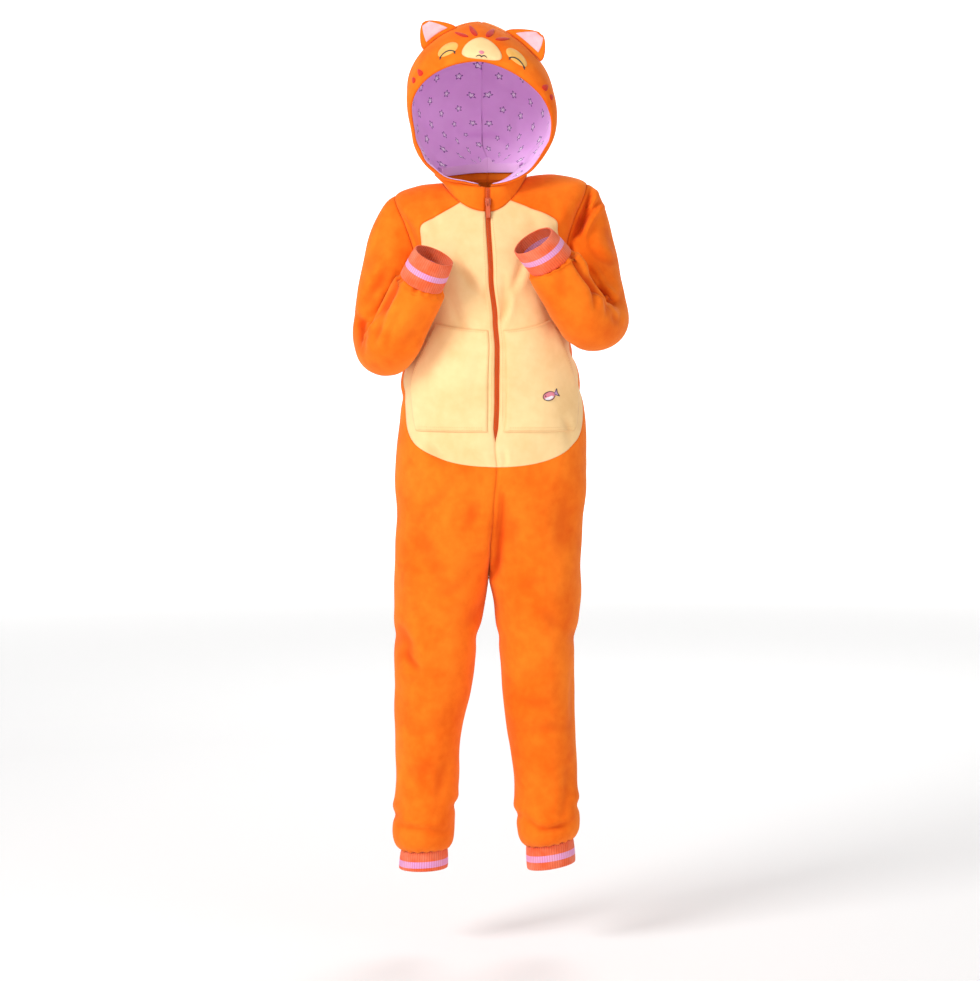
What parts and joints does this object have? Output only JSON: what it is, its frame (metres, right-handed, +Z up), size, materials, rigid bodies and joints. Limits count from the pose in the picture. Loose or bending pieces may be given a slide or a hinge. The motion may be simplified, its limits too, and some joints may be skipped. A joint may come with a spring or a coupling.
{
  "type": "hooded cat onesie",
  "caption": "Child's hooded cat onesie in plush fleece, hollow in its worn shape, with a cream belly, zip, pockets, ribbed cuffs and an eared hood.",
  "frame": {"origin": "middle of the neck opening at the level of the shoulder seams", "axes": "+X towards the wearer's left, -Y towards the front, +Z up towards the hood"},
  "size_m": [0.4253, 0.2984, 1.3371],
  "materials": {
    "plush": "orange coral fleece with a short nap",
    "cream_plush": "cream coral fleece with a short nap",
    "rib": "coral rib knit with a lilac stripe",
    "lining": "lilac jersey with a sparse print of small stars",
    "pink_felt": "pink brushed felt",
    "zip_tape": "dark orange woven tape and coil",
    "zip_metal": "slider and pull lacquered in the tape's orange"
  },
  "bodies": {
    "garment": {"front_right": "plush", "back_right": "plush", "belly_right": "cream_plush", "pocket_right": "cream_plush", "front_left": "plush", "back_left": "plush", "belly_left": "cream_plush", "pocket_left": "cream_plush", "leg_cuff_right": "rib", "leg_cuff_left": "rib", "sleeve_right": "plush", "sleeve_cuff_right": "rib", "sleeve_left": "plush", "sleeve_cuff_left": "rib", "collar_right": "plush", "collar_left": "plush", "hood_back_right": "plush", "hood_lining_right": "lining", "hood_back_left": "plush", "hood_lining_left": "lining", "hood_face": "plush", "ear_right": "plush", "ear_inner_right": "pink_felt", "ear_left": "plush", "ear_inner_left": "pink_felt", "muzzle": "cream_plush", "zip": "zip_tape", "zip_slider": "zip_metal"},
    "pull": {"zip_pull": "zip_metal"}
  },
  "joints": [
    {"name": "pull_swing", "type": "hinge", "parent": "garment", "child": "pull", "pos_m": [-0.003, -0.0889, -0.0258], "axis": [-1, 0, 0], "range_deg": [0, 150]}
  ]
}
